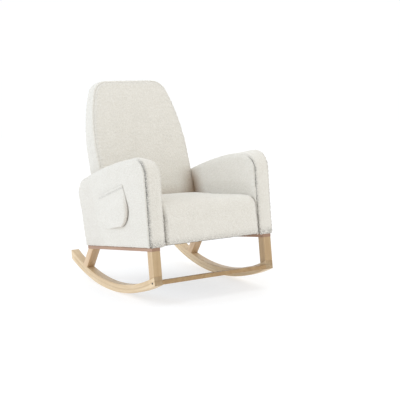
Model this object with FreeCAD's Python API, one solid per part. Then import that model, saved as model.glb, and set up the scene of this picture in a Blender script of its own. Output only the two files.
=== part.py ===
import FreeCAD, Part
import math
import os

# Nursery rocking chair: an upholstered seat, two arms and a raked back on a wooden rocker underframe.
# Millimetres, +Z up. The sitter faces -Y, so the sitter's right hand is on -X and the left on +X.
# Every piece is drawn level, as on the bench, and the whole chair is then leaned back onto its runners
# and set at the bottom centre of its own box.

V = FreeCAD.Vector

# Rest pose
REST_TILT = 8.1  # degrees that the level frame leans back when nobody sits in the chair
CONTACT_Y = 0.9  # line of contact with the floor at rest, straight below the centre of mass

# Wooden underframe
RUNNER_RADIUS = 1023.0  # underside of the runners
RUNNER_THICK = 42.0
WOOD_WIDTH = 45.0  # runners, legs and rails, across the chair
UNDERFRAME_HALF = 351.0  # centre plane to the outer faces of the side frames
FRONT_Y = -462.0
TAIL_Y = 395.0
RAIL_BOTTOM = 203.0
RAIL_TOP = 219.0
RAIL_BACK_Y = 190.0
FRONT_LEG_DEPTH = 46.0
REAR_LEG_TOP_DEPTH = 54.0
REAR_LEG_RAKE = 41.0  # degrees from upright, foot backwards
CROSSBAR_DEPTH = 38.0
CROSSBAR_BOTTOM = 43.0
CROSSBAR_HEIGHT = 20.0
WOOD_EDGE_ROUND = 2.5
DOWEL_RADIUS = 4.0
DOWEL_HALF = 18.0

# Upholstery build-up
COVER = 3.0  # boucle cover
BOARD = 3.0  # hardboard behind the padding
TIMBER = 27.0  # arm frame members, in the plane of the arm

# Arms
ARM_HALF = 363.0
ARM_THICK = 87.0
ARM_BOTTOM = RAIL_TOP
ARM_PAD_EDGE = 22.0  # padding over the front, top and back edges of the arm
ARM_PAD_SIDE = 8.0
ARM_EDGE_ROUND = 12.0
ARM_FRONT_ROUND = 100.0
ARM_BACK_ROUND = 85.0

# Seat
SEAT_HALF = 275.0
SEAT_BOTTOM = 225.0
SEAT_TOP_FRONT = 424.0  # along the middle of the seat, which falls towards the front
SEAT_TOP_REAR = 451.0
SEAT_CROWN = 5.0
SEAT_FRONT_Y = -478.0
SEAT_FRONT_ROUND = 66.0
SEAT_CORNER_ROUND = 18.0
SEAT_SIDE_PAD = 4.0
SEAT_FRONT_PAD = 14.0
SEAT_RAIL_THICK = 18.0
SEAT_RAIL_HEIGHT = 122.0
CORNER_BLOCK = 55.0
SPRING_COUNT = 5
SPRING_PITCH = 95.0
SPRING_WIRE = 1.9
DUST_COVER = 1.5
SPRING_LOOP = 11.0
SPRING_REACH = 14.0
CLIP_WALL = 1.4
CLIP_HALF = 8.0
FELT = 3.0

# Back
BACK_FRONT_Y = 108.0  # front face at BACK_REF_Z
BACK_REF_Z = 571.0
BACK_FRONT_SLOPE = 0.2412
BACK_REAR_Y = 190.0  # rear face at SEAT_BOTTOM
BACK_REAR_SLOPE = 0.1285
BACK_TOP = 1083.0
BACK_WIDEST = 283.0
BACK_WIDEST_Z = 700.0
BACK_SIDE_RADIUS = 965.0
BACK_CORNER_ROUND = 92.0
BACK_PAD = 43.0  # front face to the front edges of the frame
BACK_SIDE_PAD = 8.0
BACK_FRAME_WIDTH = 28.0
BACK_STILE_TOP = 950.0
BACK_RAIL_HEIGHT = 30.0
LUMBAR_RAIL_Z = 470.0
SHOULDER_RAIL_Z = 815.0
STRAP_THICK = 1.5
STRAP_WIDTH = 50.0
STRAP_Z = (560.0, 660.0, 760.0, 860.0, 960.0)

# Pocket on the right arm
POCKET_DEPTH = 14.0
POCKET_WALL = 3.0

# Fasteners
BOLT_RADIUS = 4.0
BOLT_HEAD_RADIUS = 7.0
BOLT_HEAD_HEIGHT = 5.0
WASHER_RADIUS = 9.5
WASHER_THICK = 1.6
TEE_NUT_RADIUS = 5.2
TEE_NUT_LENGTH = 9.0
TEE_NUT_FLANGE = 10.0
TEE_NUT_FLANGE_THICK = 1.2
INSERT_RADIUS = 6.0
INSERT_LENGTH = 15.0
RAIL_BOLT_Y = (-380.0, -140.0, 110.0)
RAIL_BOLT_SINK = 8.0
SEAT_BOLTS = ((-300.0, 236.0), (-95.0, 236.0))  # (y, z), seat side rail to arm bottom rail
BACK_BOLTS = ((171.0, 300.0), (196.0, 440.0))  # (y, z), back stile to arm rear post
BOLT_CLEARANCE = 0.4
CROSSBAR_BOLT_RADIUS = 3.0
CROSSBAR_BOLT_HEAD = 5.0
CROSSBAR_BOLT_LENGTH = 90.0
CROSSBAR_RECESS = 4.0
BARREL_RADIUS = 5.0
BARREL_LENGTH = 15.0
BARREL_FROM_END = 28.0

FAR = 2000.0
TILT = math.radians(REST_TILT)
ARC_Y = CONTACT_Y * math.cos(TILT) - RUNNER_RADIUS * math.sin(TILT)
ARC_Z = CONTACT_Y * math.sin(TILT) + RUNNER_RADIUS * math.cos(TILT)
WOOD_IN = UNDERFRAME_HALF - WOOD_WIDTH
ARM_IN = ARM_HALF - ARM_THICK
WOOD_MID = UNDERFRAME_HALF - WOOD_WIDTH / 2


# ---------------------------------------------------------------- plain shapes

def box(x0, x1, y0, y1, z0, z1):
    return Part.makeBox(x1 - x0, y1 - y0, z1 - z0, V(x0, y0, z0))


def rod(start, end, radius):
    run = end - start
    return Part.makeCylinder(radius, run.Length, start, run)


def flipped(shape):
    """The same piece on the other side of the centre plane."""
    return shape.mirror(V(0, 0, 0), V(1, 0, 0))


def both(shapes):
    """A group of separate solids for both sides, from those of the left side."""
    return Part.makeCompound(shapes + [flipped(s) for s in shapes])


def yz_face(points):
    """Flat face in the plane x = 0 through (y, z) points."""
    return Part.Face(Part.makePolygon([V(0, y, z) for y, z in points + points[:1]]))


def across(face, x0, x1):
    """A face in the plane x = 0, swept from x0 to x1."""
    moved = face.copy()
    moved.translate(V(x0, 0, 0))
    return moved.extrude(V(x1 - x0, 0, 0))


def cut_all(shape, tools):
    return shape.cut(Part.makeCompound(tools)) if tools else shape


def rounded(shape, radius, wanted):
    """Rounds the edges that the test picks."""
    return shape.makeFillet(radius, [e for e in shape.Edges if wanted(e)])


def middle(edge):
    return edge.valueAt((edge.FirstParameter + edge.LastParameter) / 2)


def above(z):
    return box(-FAR, FAR, -FAR, FAR, z, FAR)


# ---------------------------------------------------------------- wooden underframe

def runner_disc(radius):
    centre = V(WOOD_IN, ARC_Y, ARC_Z)
    return Part.makeCylinder(radius, WOOD_WIDTH, centre, V(1, 0, 0))


def runner_top_z(y):
    inner = RUNNER_RADIUS - RUNNER_THICK
    return ARC_Z - math.sqrt(inner**2 - (y - ARC_Y) ** 2)


def runner():
    ring = runner_disc(RUNNER_RADIUS).cut(runner_disc(RUNNER_RADIUS - RUNNER_THICK))
    strip = ring.common(box(WOOD_IN, UNDERFRAME_HALF, FRONT_Y, TAIL_Y, -FAR, 400))
    return rounded(strip, WOOD_EDGE_ROUND, lambda e: True)


def front_leg():
    blank = box(WOOD_IN, UNDERFRAME_HALF, FRONT_Y, FRONT_Y + FRONT_LEG_DEPTH, 0, RAIL_BOTTOM)
    blank = rounded(blank, WOOD_EDGE_ROUND, lambda e: abs(e.tangentAt(e.FirstParameter).z) > 0.9)
    return blank.common(runner_disc(RUNNER_RADIUS - RUNNER_THICK))


REAR_LEG_TOP_Y = RAIL_BACK_Y - REAR_LEG_TOP_DEPTH
LEG_LEAN = math.tan(math.radians(REAR_LEG_RAKE))


def rear_leg():
    drop = RAIL_BOTTOM - 20
    foot = LEG_LEAN * drop
    side = yz_face(
        [
            (REAR_LEG_TOP_Y, RAIL_BOTTOM),
            (RAIL_BACK_Y, RAIL_BOTTOM),
            (RAIL_BACK_Y + foot, RAIL_BOTTOM - drop),
            (REAR_LEG_TOP_Y + foot, RAIL_BOTTOM - drop),
        ]
    )
    blank = across(side, WOOD_IN, UNDERFRAME_HALF)
    slope = math.cos(math.radians(REAR_LEG_RAKE))
    blank = rounded(
        blank, WOOD_EDGE_ROUND, lambda e: abs(abs(e.tangentAt(e.FirstParameter).z) - slope) < 0.01
    )
    return blank.common(runner_disc(RUNNER_RADIUS - RUNNER_THICK))


def rail():
    bar = box(WOOD_IN, UNDERFRAME_HALF, FRONT_Y, RAIL_BACK_Y, RAIL_BOTTOM, RAIL_TOP)
    return rounded(bar, WOOD_EDGE_ROUND, lambda e: e.Length > 500)


def dowels():
    """Two dowels at each end of each leg, for the left side."""
    pins = []
    front_y = FRONT_Y + FRONT_LEG_DEPTH / 2
    lean = V(0, math.sin(math.radians(REAR_LEG_RAKE)), -math.cos(math.radians(REAR_LEG_RAKE)))
    rear_top = V(0, REAR_LEG_TOP_Y + REAR_LEG_TOP_DEPTH / 2, RAIL_BOTTOM)
    foot_y = rear_top.y + LEG_LEAN * 89
    rear_foot = V(0, foot_y, runner_top_z(foot_y))
    ends = [
        (V(0, front_y, RAIL_BOTTOM), V(0, 0, -1), 12),
        (V(0, front_y, runner_top_z(front_y)), V(0, 0, -1), DOWEL_HALF),
        (rear_top, lean, 12),
        (rear_foot, lean, DOWEL_HALF),
    ]
    for point, way, short in ends:
        for side in (-1, 1):
            at = point + V(WOOD_MID + side * 10, 0, 0)
            down = short if point.z < RAIL_BOTTOM else DOWEL_HALF
            up = DOWEL_HALF if point.z < RAIL_BOTTOM else short
            pins.append(rod(at - way * up, at + way * down, DOWEL_RADIUS))
    return pins


def crossbar():
    """Front crossbar between the runners."""
    bar = box(
        -WOOD_IN, WOOD_IN, FRONT_Y, FRONT_Y + CROSSBAR_DEPTH,
        CROSSBAR_BOTTOM, CROSSBAR_BOTTOM + CROSSBAR_HEIGHT,
    )
    return rounded(bar, WOOD_EDGE_ROUND, lambda e: e.Length > 500)


CROSSBAR_Y = FRONT_Y + CROSSBAR_DEPTH / 2
CROSSBAR_Z = CROSSBAR_BOTTOM + CROSSBAR_HEIGHT / 2
CROSSBAR_BOLT_AT = V(UNDERFRAME_HALF - CROSSBAR_RECESS, CROSSBAR_Y, CROSSBAR_Z)
BARREL_AT = V(WOOD_IN - BARREL_FROM_END, CROSSBAR_Y, CROSSBAR_BOTTOM + 2)


def barrel_nut():
    """Steel cross dowel that the crossbar's bolt pulls against, at its left end."""
    nut = rod(BARREL_AT, BARREL_AT + V(0, 0, BARREL_LENGTH), BARREL_RADIUS)
    return nut.cut(rod(V(0, CROSSBAR_Y, CROSSBAR_Z), CROSSBAR_BOLT_AT, CROSSBAR_BOLT_RADIUS))


def crossbar_bores():
    """The bolt's way through the left runner into the crossbar, and the barrel nut's hole from below."""
    in_bar = CROSSBAR_BOLT_AT - V(CROSSBAR_BOLT_LENGTH + 6, 0, 0)
    nut_top = BARREL_AT + V(0, 0, BARREL_LENGTH + 0.2)
    return [
        rod(CROSSBAR_BOLT_AT, in_bar, CROSSBAR_BOLT_RADIUS + 0.2),
        rod(CROSSBAR_BOLT_AT, CROSSBAR_BOLT_AT + V(FAR, 0, 0), CROSSBAR_BOLT_HEAD + 0.2),
        rod(BARREL_AT - V(0, 0, 10), nut_top, BARREL_RADIUS + 0.1),
    ]


# ---------------------------------------------------------------- fasteners

def bolt(head_at, way, length, radius=BOLT_RADIUS, head_radius=BOLT_HEAD_RADIUS):
    """Socket-head bolt: head_at is under the head, way is the shank's direction."""
    way = V(way).normalize()
    shank = rod(head_at, head_at + way * length, radius)
    head = rod(head_at - way * BOLT_HEAD_HEIGHT, head_at, head_radius)
    corners = []
    side = V(0, 1, 0) if abs(way.y) < 0.5 else V(1, 0, 0)
    other = way.cross(side)
    for k in range(7):
        turn = math.radians(60 * k)
        offset = side * (math.cos(turn) * radius * 0.75) + other * (math.sin(turn) * radius * 0.75)
        corners.append(head_at - way * BOLT_HEAD_HEIGHT + offset)
    socket = Part.Face(Part.makePolygon(corners)).extrude(way * (BOLT_HEAD_HEIGHT * 0.6))
    return head.fuse(shank).cut(socket).removeSplitter()


def washer(head_at, way):
    way = V(way).normalize()
    disc = rod(head_at, head_at + way * WASHER_THICK, WASHER_RADIUS)
    return disc.cut(rod(head_at - way, head_at + way * 5, BOLT_RADIUS + 0.3))


def tee_nut(flange_at, way):
    """Tee nut: flange_at is the flange's far face, way points back towards the bolt's head."""
    way = V(way).normalize()
    barrel = rod(flange_at, flange_at + way * TEE_NUT_LENGTH, TEE_NUT_RADIUS)
    flange = rod(flange_at, flange_at + way * TEE_NUT_FLANGE_THICK, TEE_NUT_FLANGE)
    return flange.fuse(barrel).cut(rod(flange_at - way, flange_at + way * 12, BOLT_RADIUS + 0.05))


def insert_nut(at, way):
    """Threaded insert let into a timber: at is its mouth, way points into the timber."""
    sleeve = rod(at, at + way * INSERT_LENGTH, INSERT_RADIUS)
    return sleeve.cut(rod(at - way, at + way * (INSERT_LENGTH + 1), BOLT_RADIUS + 0.05))


# ---------------------------------------------------------------- arms

def arm_outline():
    """Side of an arm in the plane x = 0, carried on below its bottom so that it can be offset."""
    front = lambda z: -473.0 - 0.020 * (z - ARM_BOTTOM)
    back = lambda z: 197.0 + 0.170 * (z - ARM_BOTTOM)
    low, peak, heel = 60.0, 654.0, 552.0
    crown = Part.Arc(V(0, front(peak), peak), V(0, -115, 631), V(0, back(heel), heel)).toShape()
    sides = Part.makePolygon(
        [V(0, back(heel), heel), V(0, back(low), low), V(0, front(low), low), V(0, front(peak), peak)]
    )
    block = across(Part.Face(Part.Wire([crown] + sides.Edges)), 0, 50)
    block = rounded(block, ARM_FRONT_ROUND, lambda e: e.Length < 51 and middle(e).z > 600)
    block = rounded(
        block, ARM_BACK_ROUND,
        lambda e: abs(e.Length - 50) < 0.01 and middle(e).z > 500 and middle(e).y > 150,
    )
    for face in block.Faces:
        if abs(face.CenterOfMass.x) < 0.001:
            return face
    raise ValueError("the arm has no side face")


ARM_OUTLINE = arm_outline()


def arm_plate(inset, x0, x1, bottom=ARM_BOTTOM):
    """The arm's outline, drawn in by the inset, from x0 to x1 and down to the bottom."""
    face = ARM_OUTLINE.makeOffset2D(-inset) if inset else ARM_OUTLINE
    return across(face, x0, x1).common(above(bottom))


def arm_body(inset):
    """The arm's soft outer form, or the space inside its cover."""
    x0 = ARM_IN + inset
    x1 = ARM_HALF - inset
    face = ARM_OUTLINE.makeOffset2D(-inset) if inset else ARM_OUTLINE
    block = across(face, x0, x1)
    soft = rounded(
        block, ARM_EDGE_ROUND - inset, lambda e: min(abs(middle(e).x - x0), abs(middle(e).x - x1)) < 0.01
        and middle(e).z > 100
    )
    return soft.common(above(ARM_BOTTOM))


FRAME_INSET = COVER + ARM_PAD_EDGE
FRAME_X0 = ARM_IN + COVER + ARM_PAD_SIDE + BOARD
FRAME_X1 = ARM_HALF - COVER - ARM_PAD_SIDE - BOARD


def arm_cover():
    return arm_body(0).cut(arm_body(COVER))


def arm_padding():
    core = arm_plate(FRAME_INSET, FRAME_X0 - BOARD, FRAME_X1 + BOARD, ARM_BOTTOM - 50)
    return arm_body(COVER).cut(core)


def arm_timbers():
    """Front post, rear post, top rail and bottom rail of the left arm's frame."""
    ring = arm_plate(FRAME_INSET, FRAME_X0, FRAME_X1).cut(
        arm_plate(FRAME_INSET + TIMBER, FRAME_X0 - 5, FRAME_X1 + 5, ARM_BOTTOM + TIMBER)
    )
    low = ARM_BOTTOM + TIMBER
    front = box(0, FAR, -FAR, -350, low, 545)
    rear = box(0, FAR, 60, FAR, low, 480)
    bottom = box(0, FAR, -FAR, FAR, -FAR, low)
    return {
        "arm_front_post": ring.common(front),
        "arm_rear_post": ring.common(rear),
        "arm_bottom_rail": ring.common(bottom),
        "arm_top_rail": ring.cut(front).cut(rear).cut(bottom),
    }


def arm_board(x0, x1):
    return arm_plate(FRAME_INSET, x0, x1)


def pocket():
    """Patch pocket sewn to the outer face of the right arm by its sides and bottom, open at the top."""
    y_rear, z_rear, y_front, z_front = -12.0, 475.0, -262.0, 527.0
    low_front, low_rear = V(0, -222, 323), V(0, -92, 309)

    def outline(inset, rise):
        top_rear = V(0, y_rear - inset, z_rear + rise)
        top_front = V(0, y_front + inset, z_front + rise)
        up = V(0, 0, inset)
        front_side = V(0, -303 + inset, 425)
        rear_side = V(0, -14 - inset, 392)
        edges = [
            Part.LineSegment(top_rear, top_front).toShape(),
            Part.LineSegment(top_front, front_side).toShape(),
            Part.Arc(front_side, V(0, -297 + inset * 0.7, 368 + inset * 0.7), low_front + up).toShape(),
            Part.LineSegment(low_front + up, low_rear + up).toShape(),
            Part.Arc(low_rear + up, V(0, -36 - inset * 0.7, 338 + inset * 0.7), rear_side).toShape(),
            Part.LineSegment(rear_side, top_rear).toShape(),
        ]
        return Part.Face(Part.Wire(edges))

    patch = across(outline(0, 0), -ARM_HALF - POCKET_DEPTH, -ARM_HALF)
    room = across(outline(POCKET_WALL, 30), -ARM_HALF - POCKET_DEPTH + POCKET_WALL, -ARM_HALF)
    return patch.cut(room)


# ---------------------------------------------------------------- seat

def back_front_y(z):
    return BACK_FRONT_Y + BACK_FRONT_SLOPE * (z - BACK_REF_Z)


def back_rear_y(z):
    return BACK_REAR_Y + BACK_REAR_SLOPE * (z - SEAT_BOTTOM)


def seat_body(inset):
    """The seat's soft outer form, or the space inside its cover: crowned across, rounded at the front."""
    low = 60.0
    front = SEAT_FRONT_Y + inset
    front_top = SEAT_TOP_FRONT - inset
    rear_top = SEAT_TOP_REAR - inset
    gap = 1.0 + inset
    rear = back_front_y(rear_top) - gap
    side = yz_face([(front, low), (front, front_top), (rear, rear_top), (back_front_y(low) - gap, low)])
    block = across(side, -SEAT_HALF + inset, SEAT_HALF - inset)
    block = rounded(
        block, SEAT_FRONT_ROUND,
        lambda e: abs(middle(e).y - front) < 0.01 and abs(middle(e).z - front_top) < 0.01,
    )
    radius = (SEAT_HALF**2 + SEAT_CROWN**2) / (2 * SEAT_CROWN)
    backward = V(0, rear - front, rear_top - front_top).normalize()
    up = V(1, 0, 0).cross(backward)
    start = V(0, front, front_top) - up * radius - backward * FAR
    crown = Part.makeCylinder(radius, 2 * FAR, start, backward)
    block = rounded(
        block, SEAT_CORNER_ROUND - inset,
        lambda e: abs(middle(e).y - front) < 0.01 and abs(e.tangentAt(e.FirstParameter).z) > 0.9,
    )
    return block.common(crown).common(above(SEAT_BOTTOM))


SEAT_RAIL_TOP = SEAT_BOTTOM + SEAT_RAIL_HEIGHT
SEAT_FRAME_HALF = SEAT_HALF - COVER - SEAT_SIDE_PAD
SEAT_FRAME_FRONT = SEAT_FRONT_Y + COVER + SEAT_FRONT_PAD
SEAT_FRAME_BACK = 17.0
SEAT_INNER_FACE = SEAT_FRAME_HALF - SEAT_RAIL_THICK
SPRING_Z = SEAT_RAIL_TOP + 4
FELT_Z = SPRING_Z + SPRING_WIRE + CLIP_WALL + 0.2


def seat_rails():
    inner_front = SEAT_FRAME_FRONT + SEAT_RAIL_THICK
    inner_back = SEAT_FRAME_BACK - SEAT_RAIL_THICK
    low, high = SEAT_BOTTOM, SEAT_RAIL_TOP
    left = box(SEAT_INNER_FACE, SEAT_FRAME_HALF, inner_front, inner_back, low, high)
    left = cut_all(left, cross_bores(SEAT_INNER_FACE, SEAT_BOLTS))
    return {
        "seat_front_rail": box(-SEAT_FRAME_HALF, SEAT_FRAME_HALF, SEAT_FRAME_FRONT, inner_front, low, high),
        "seat_rear_rail": box(-SEAT_FRAME_HALF, SEAT_FRAME_HALF, inner_back, SEAT_FRAME_BACK, low, high),
        "left_seat_side_rail": left,
        "right_seat_side_rail": flipped(left),
    }


def corner_blocks():
    """Four glue blocks in the inner corners of the seat frame."""
    x = SEAT_INNER_FACE
    blocks = []
    for y, way in ((SEAT_FRAME_FRONT + SEAT_RAIL_THICK, 1), (SEAT_FRAME_BACK - SEAT_RAIL_THICK, -1)):
        face = Part.Face(
            Part.makePolygon(
                [V(x, y, 0), V(x - CORNER_BLOCK, y, 0), V(x, y + way * CORNER_BLOCK, 0), V(x, y, 0)]
            )
        )
        face.translate(V(0, 0, SEAT_BOTTOM + 8))
        blocks.append(face.extrude(V(0, 0, SEAT_RAIL_HEIGHT - 16)))
    return both(blocks)


def spring(x_mid):
    """One zig-zag seat spring: straight runs across, joined by half loops, on top of the seat rails."""
    y = SEAT_FRAME_FRONT + SEAT_RAIL_THICK / 2
    last = SEAT_FRAME_BACK - SEAT_RAIL_THICK / 2
    loops = int((last - y) / (2 * SPRING_LOOP))
    step = (last - y) / loops
    side = 1
    pieces = []
    for k in range(loops + 1):
        a = V(x_mid - SPRING_REACH, y, SPRING_Z)
        b = V(x_mid + SPRING_REACH, y, SPRING_Z)
        pieces.append(Part.LineSegment(a, b).toShape() if side > 0 else Part.LineSegment(b, a).toShape())
        if k < loops:
            end = V(x_mid + side * SPRING_REACH, y, SPRING_Z)
            tip = end + V(side * step / 2, step / 2, 0)
            pieces.append(Part.Arc(end, tip, end + V(0, step, 0)).toShape())
        y += step
        side = -side
    path = Part.Wire(pieces)
    start = V(x_mid - SPRING_REACH, SEAT_FRAME_FRONT + SEAT_RAIL_THICK / 2, SPRING_Z)
    section = Part.Wire([Part.makeCircle(SPRING_WIRE, start, V(1, 0, 0))])
    return path.makePipeShell([section], True, False)


def spring_clip(x_mid, y):
    """Folded steel clip that holds the last run of a spring on its rail."""
    reach = SPRING_WIRE + CLIP_WALL
    left, right = x_mid - CLIP_HALF, x_mid + CLIP_HALF
    over = rod(V(left, y, SPRING_Z), V(right, y, SPRING_Z), reach)
    legs = box(left, right, y - reach, y + reach, SEAT_RAIL_TOP, SPRING_Z)
    foot = box(left, right, y - 8, y + 8, SEAT_RAIL_TOP, SEAT_RAIL_TOP + CLIP_WALL)
    hole = rod(V(left - 5, y, SPRING_Z), V(right + 5, y, SPRING_Z), SPRING_WIRE + 0.05)
    return over.fuse(legs).fuse(foot).cut(hole).removeSplitter()


def seat_padding():
    room = box(
        -SEAT_FRAME_HALF, SEAT_FRAME_HALF, SEAT_FRAME_FRONT, FAR, -FAR, FELT_Z + FELT
    )
    block = seat_body(COVER)
    return block.cut(room)


# ---------------------------------------------------------------- back

def back_outline():
    """Front view of the back in the plane y = 0, carried on below its bottom so that it can be offset."""
    def half_width(z):
        return BACK_WIDEST - BACK_SIDE_RADIUS + math.sqrt(BACK_SIDE_RADIUS**2 - (z - BACK_WIDEST_Z) ** 2)

    low = 60.0
    join = BACK_WIDEST_Z - math.sqrt(BACK_SIDE_RADIUS**2 - (SEAT_HALF - BACK_WIDEST + BACK_SIDE_RADIUS) ** 2)
    corner = half_width(BACK_TOP)
    edges = []
    for side in (1, -1):
        foot = V(side * SEAT_HALF, 0, low)
        knee = V(side * SEAT_HALF, 0, join)
        wide = V(side * half_width(850), 0, 850)
        head = V(side * corner, 0, BACK_TOP)
        edges += [Part.LineSegment(foot, knee).toShape(), Part.Arc(knee, wide, head).toShape()]
    edges.append(Part.LineSegment(V(-SEAT_HALF, 0, low), V(SEAT_HALF, 0, low)).toShape())
    edges.append(Part.LineSegment(V(-corner, 0, BACK_TOP), V(corner, 0, BACK_TOP)).toShape())
    face = Part.Face(Part.Wire(Part.__sortEdges__(edges)))
    block = face.extrude(V(0, 50, 0))
    block = rounded(
        block, BACK_CORNER_ROUND, lambda e: abs(e.Length - 50) < 0.01 and middle(e).z > 1000
    )
    for side_face in block.Faces:
        if abs(side_face.CenterOfMass.y) < 0.001:
            return side_face
    raise ValueError("the back has no front face")


BACK_OUTLINE = back_outline()


def back_plate(inset, front_gap, rear_gap, bottom=SEAT_BOTTOM):
    """The back's outline, drawn in by the inset, between planes set in from its front and rear faces."""
    face = BACK_OUTLINE.makeOffset2D(-inset) if inset else BACK_OUTLINE.copy()
    face.translate(V(0, -300, 0))
    block = face.extrude(V(0, 900, 0))
    low, high = 0.0, 1200.0
    wedge = yz_face(
        [
            (back_front_y(low) + front_gap, low),
            (back_rear_y(low) - rear_gap, low),
            (back_rear_y(high) - rear_gap, high),
            (back_front_y(high) + front_gap, high),
        ]
    )
    return block.common(across(wedge, -FAR, FAR)).common(above(bottom))


def back_cover():
    return back_plate(0, 0, 0).cut(back_plate(COVER, COVER, COVER, SEAT_BOTTOM - 50))


def back_padding():
    whole = back_plate(COVER, COVER, COVER)
    core = back_plate(COVER + BACK_SIDE_PAD, BACK_PAD - STRAP_THICK, -10, SEAT_BOTTOM - 50)
    return whole.cut(core)


def back_timbers():
    """Two stiles, top rail and three cross rails of the back's frame."""
    inset = COVER + BACK_SIDE_PAD
    rear_gap = COVER + BOARD
    ring = back_plate(inset, BACK_PAD, rear_gap).cut(
        back_plate(inset + BACK_FRAME_WIDTH, -10, -10, SEAT_BOTTOM - 50)
    )
    inner = back_plate(inset + BACK_FRAME_WIDTH, BACK_PAD, rear_gap)
    stile = ring.common(box(0, FAR, -FAR, FAR, -FAR, BACK_STILE_TOP))
    stile = cut_all(stile, cross_bores(BACK_INNER_FACE, BACK_BOLTS))
    def cross_rail(z):
        return inner.common(box(-FAR, FAR, -FAR, FAR, z, z + BACK_RAIL_HEIGHT))

    return {
        "left_back_stile": stile,
        "right_back_stile": flipped(stile),
        "back_top_rail": ring.common(above(BACK_STILE_TOP)),
        "back_shoulder_rail": cross_rail(SHOULDER_RAIL_Z),
        "back_lumbar_rail": cross_rail(LUMBAR_RAIL_Z),
        "back_bottom_rail": cross_rail(SEAT_BOTTOM),
    }


def back_straps():
    """Elastic webbing stapled across the front edges of the stiles."""
    inset = COVER + BACK_SIDE_PAD + 1
    sheet = back_plate(inset, BACK_PAD - STRAP_THICK, -10).cut(back_plate(0, BACK_PAD, -20, 0))
    return Part.makeCompound(
        [sheet.common(box(-FAR, FAR, -FAR, FAR, z, z + STRAP_WIDTH)) for z in STRAP_Z]
    )


def back_rear_board():
    """Hardboard over the back of the frame."""
    board = back_plate(COVER + BACK_SIDE_PAD, 0, COVER)
    return board.cut(back_plate(0, -20, COVER + BOARD, 0))


# ---------------------------------------------------------------- assembly

BACK_INNER_FACE = SEAT_HALF - COVER - BACK_SIDE_PAD - BACK_FRAME_WIDTH
ARM_WOOD_TOP = ARM_BOTTOM + TIMBER
RAIL_BOLT_X = FRAME_X0 + 27


def cross_bores(inner_face, places):
    """Ways across the chair for the bolts that join the seat or the back to the left arm."""
    return [
        rod(V(inner_face - 30, y, z), V(FRAME_X0 + INSERT_LENGTH + 2, y, z), BOLT_RADIUS + BOLT_CLEARANCE)
        for y, z in places
    ]


def cross_hardware(inner_face, places):
    """Bolts, washers and inserts that join the seat or the back to the left arm."""
    out = V(1, 0, 0)
    bolts, washers, inserts = [], [], []
    for y, z in places:
        face = V(inner_face, y, z)
        under_head = face - out * WASHER_THICK
        mouth = V(FRAME_X0, y, z)
        bolts.append(bolt(under_head, out, FRAME_X0 + INSERT_LENGTH - under_head.x))
        washers.append(washer(under_head, out))
        inserts.append(insert_nut(mouth, out))
    return bolts, washers, inserts


def insert_bores(places):
    return [
        rod(V(FRAME_X0, y, z), V(FRAME_X0 + INSERT_LENGTH, y, z), INSERT_RADIUS + 0.05) for y, z in places
    ]


def rail_hardware():
    """Bolts, washers and tee nuts that hold the left arm down on its rail, with the holes they need."""
    up = V(0, 0, 1)
    length = ARM_WOOD_TOP - RAIL_BOTTOM - RAIL_BOLT_SINK - 1
    bolts, washers, nuts, holes = [], [], [], []
    for y in RAIL_BOLT_Y:
        head = V(RAIL_BOLT_X, y, RAIL_BOTTOM + RAIL_BOLT_SINK)
        top = V(RAIL_BOLT_X, y, ARM_WOOD_TOP)
        bolts.append(bolt(head, up, length))
        washers.append(washer(head, up))
        nuts.append(tee_nut(top + up * TEE_NUT_FLANGE_THICK, -up))
        holes.append(rod(head - up * 30, head + up * WASHER_THICK, WASHER_RADIUS + 0.5))
        holes.append(rod(head, top, BOLT_RADIUS + BOLT_CLEARANCE))
        holes.append(rod(top - up * TEE_NUT_LENGTH, top, TEE_NUT_RADIUS + 0.1))
    return bolts, washers, nuts, holes


def underframe():
    pins = dowels()
    bores = crossbar_bores()
    rail_holes = rail_hardware()[3]
    left = {
        "runner": cut_all(runner(), pins + bores),
        "front_leg": cut_all(front_leg(), pins),
        "rear_leg": cut_all(rear_leg(), pins),
        "rail": cut_all(rail(), pins + rail_holes),
    }
    nodes = sided(left)
    nodes["front_crossbar"] = cut_all(crossbar(), bores + [flipped(b) for b in bores])
    nodes["leg_dowels"] = both(pins)
    cross_bolt = bolt(
        CROSSBAR_BOLT_AT, V(-1, 0, 0), CROSSBAR_BOLT_LENGTH, CROSSBAR_BOLT_RADIUS, CROSSBAR_BOLT_HEAD
    )
    nodes["crossbar_bolts"] = both([cross_bolt])
    nodes["crossbar_barrel_nuts"] = both([barrel_nut()])
    return nodes


def sided(left):
    """Left pieces and their right-hand twins, as named nodes."""
    nodes = {}
    for name, shape in left.items():
        nodes["left_" + name] = shape
        nodes["right_" + name] = flipped(shape)
    return nodes


def arms():
    bores = cross_bores(ARM_IN, SEAT_BOLTS + BACK_BOLTS)
    insets = insert_bores(SEAT_BOLTS + BACK_BOLTS)
    rail_holes = rail_hardware()[3]
    left = {
        "arm_cover": cut_all(arm_cover(), bores),
        "arm_padding": cut_all(arm_padding(), bores),
        "arm_outer_board": arm_board(FRAME_X1, FRAME_X1 + BOARD),
        "arm_inner_board": cut_all(arm_board(FRAME_X0 - BOARD, FRAME_X0), bores),
    }
    for name, shape in arm_timbers().items():
        left[name] = cut_all(shape, bores + insets + rail_holes)
    nodes = sided(left)
    nodes["arm_pocket"] = pocket()
    return nodes


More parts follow.
